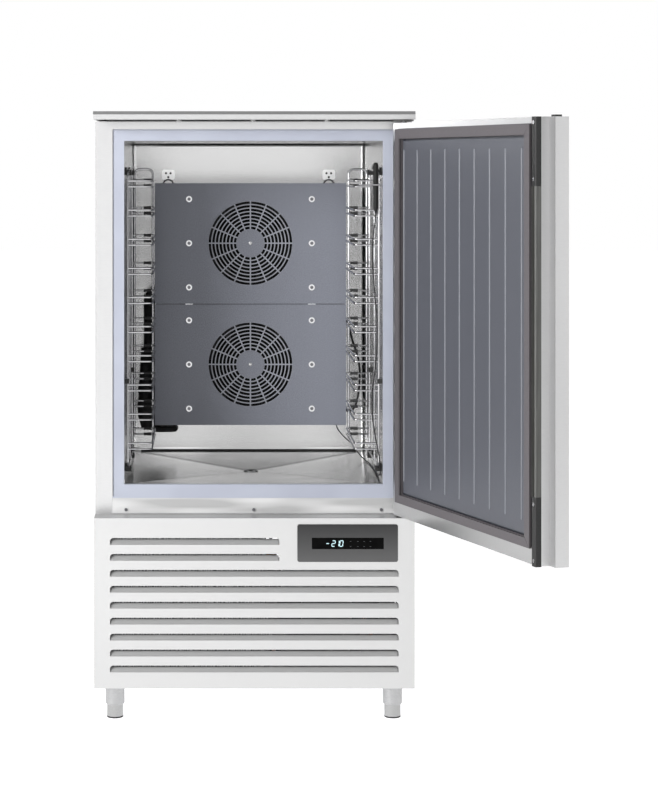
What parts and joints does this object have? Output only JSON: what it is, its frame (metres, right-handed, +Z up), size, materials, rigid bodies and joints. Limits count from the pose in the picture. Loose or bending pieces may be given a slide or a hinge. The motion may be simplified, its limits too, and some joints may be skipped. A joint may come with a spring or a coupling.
{
  "type": "blast chiller",
  "caption": "Reach-in blast chiller in stainless steel with a hinged insulated door, tray racks, a fan-cooled evaporator, a core probe and a louvred machine base on adjustable legs.",
  "frame": {"origin": "centre of the cabinet's footprint, on the floor", "axes": "+X to the right seen from the front, +Y to the back, +Z up"},
  "size_m": [1.0584, 1.4956, 1.505],
  "materials": {
    "steel": "satin, fine horizontal grain",
    "liner_steel": "bright brushed sheet",
    "wire": "polished stainless wire",
    "zinc": "zinc plated",
    "dark_steel": "dark plated steel",
    "foam": "rigid foam",
    "frame_plastic": "pale lavender plastic",
    "white_plastic": "white plastic",
    "black_plastic": "black plastic",
    "anthracite": "anthracite plastic",
    "panel_grey": "blue-grey plastic",
    "fan_panel": "blue-grey coated sheet",
    "gasket": "soft grey-purple seal",
    "fins": "plain fins",
    "motor": "black paint",
    "cable": "black sheath",
    "pipe_foam": "closed-cell foam sleeve",
    "copper": "bare copper tube",
    "bezel": "satin dark grey",
    "display": "dark display window",
    "board": "green laminate",
    "foot": "turned steel on a black pad",
    "mount_rubber": "black rubber"
  },
  "bodies": {
    "cabinet": {"outer_shell": "steel", "foam_core": "foam", "liner": "liner_steel", "floor_basin": "liner_steel", "front_frame": "frame_plastic", "frame_heater": "white_plastic", "sill_trim": "white_plastic", "worktop": "steel", "worktop_spacers": "white_plastic", "hinge_brackets": "dark_steel", "evap_housing": "liner_steel", "evap_coil": "fins", "fan_panel_upper": "fan_panel", "fan_panel_lower": "fan_panel", "panel_screws": "white_plastic", "fan_motors": "motor", "insulated_pipes": "pipe_foam", "fan_cables": "cable", "rack_hooks": "black_plastic", "probe_cable": "cable", "base_pan": "zinc", "base_deck": "steel", "base_sides": "steel", "rear_grille": "steel", "louvre_panel": "steel", "compressor": "motor", "compressor_mounts": "mount_rubber", "condenser_coil": "fins", "condenser_shroud": "zinc", "condenser_motor": "motor", "liquid_receiver": "motor", "refrigerant_lines": "copper", "electrical_box": "zinc", "control_bezel": "bezel", "display_glass": "display", "control_board": "board", "condensate_tray": "black_plastic", "leg_sleeves": "zinc", "leg_bolts": "zinc", "cable_glands": "black_plastic"},
    "door": {"door_skin": "steel", "door_foam": "foam", "door_liner": "panel_grey", "door_gasket": "gasket", "handle_profile": "anthracite", "handle_caps": "black_plastic", "handle_screws": "wire", "door_top_cap": "black_plastic", "door_bushes": "white_plastic"},
    "rack_left": {"rack_left": "wire"},
    "rack_right": {"rack_right": "wire", "probe_holder": "wire"},
    "probe": {"core_probe": "wire"},
    "evap_fan_upper": {"evap_fan_upper": "black_plastic"},
    "evap_fan_lower": {"evap_fan_lower": "black_plastic"},
    "condenser_fan": {"condenser_fan": "motor"},
    "foot_front_left": {"foot_front_left": "foot"},
    "foot_front_right": {"foot_front_right": "foot"},
    "foot_back_left": {"foot_back_left": "foot"},
    "foot_back_right": {"foot_back_right": "foot"}
  },
  "joints": [
    {"name": "door_hinge", "type": "hinge", "parent": "cabinet", "child": "door", "pos_m": [0.373, -0.366, 0.99], "axis": [0, 0, 1], "range_deg": [-109.5, 10.5]},
    {"name": "rack_left_lift", "type": "slide", "parent": "cabinet", "child": "rack_left", "axis": [0, 0, 1], "range_m": [0, 0.012]},
    {"name": "rack_right_lift", "type": "slide", "parent": "cabinet", "child": "rack_right", "axis": [0, 0, 1], "range_m": [0, 0.012]},
    {"name": "probe_lift", "type": "slide", "parent": "rack_right", "child": "probe", "axis": [0, 0, 1], "range_m": [0, 0.03]},
    {"name": "evap_fan_upper_spin", "type": "hinge", "parent": "cabinet", "child": "evap_fan_upper", "pos_m": [0, 0.082, 1.164], "axis": [0, 1, 0], "continuous": true},
    {"name": "evap_fan_lower_spin", "type": "hinge", "parent": "cabinet", "child": "evap_fan_lower", "pos_m": [0, 0.082, 0.84], "axis": [0, 1, 0], "continuous": true},
    {"name": "condenser_fan_spin", "type": "hinge", "parent": "cabinet", "child": "condenser_fan", "pos_m": [-0.16, -0.277, 0.293], "axis": [0, 1, 0], "continuous": true},
    {"name": "foot_front_left_height", "type": "slide", "parent": "cabinet", "child": "foot_front_left", "axis": [0, 0, -1], "range_m": [0, 0.03]},
    {"name": "foot_front_right_height", "type": "slide", "parent": "cabinet", "child": "foot_front_right", "axis": [0, 0, -1], "range_m": [0, 0.03]},
    {"name": "foot_back_left_height", "type": "slide", "parent": "cabinet", "child": "foot_back_left", "axis": [0, 0, -1], "range_m": [0, 0.03]},
    {"name": "foot_back_right_height", "type": "slide", "parent": "cabinet", "child": "foot_back_right", "axis": [0, 0, -1], "range_m": [0, 0.03]}
  ]
}
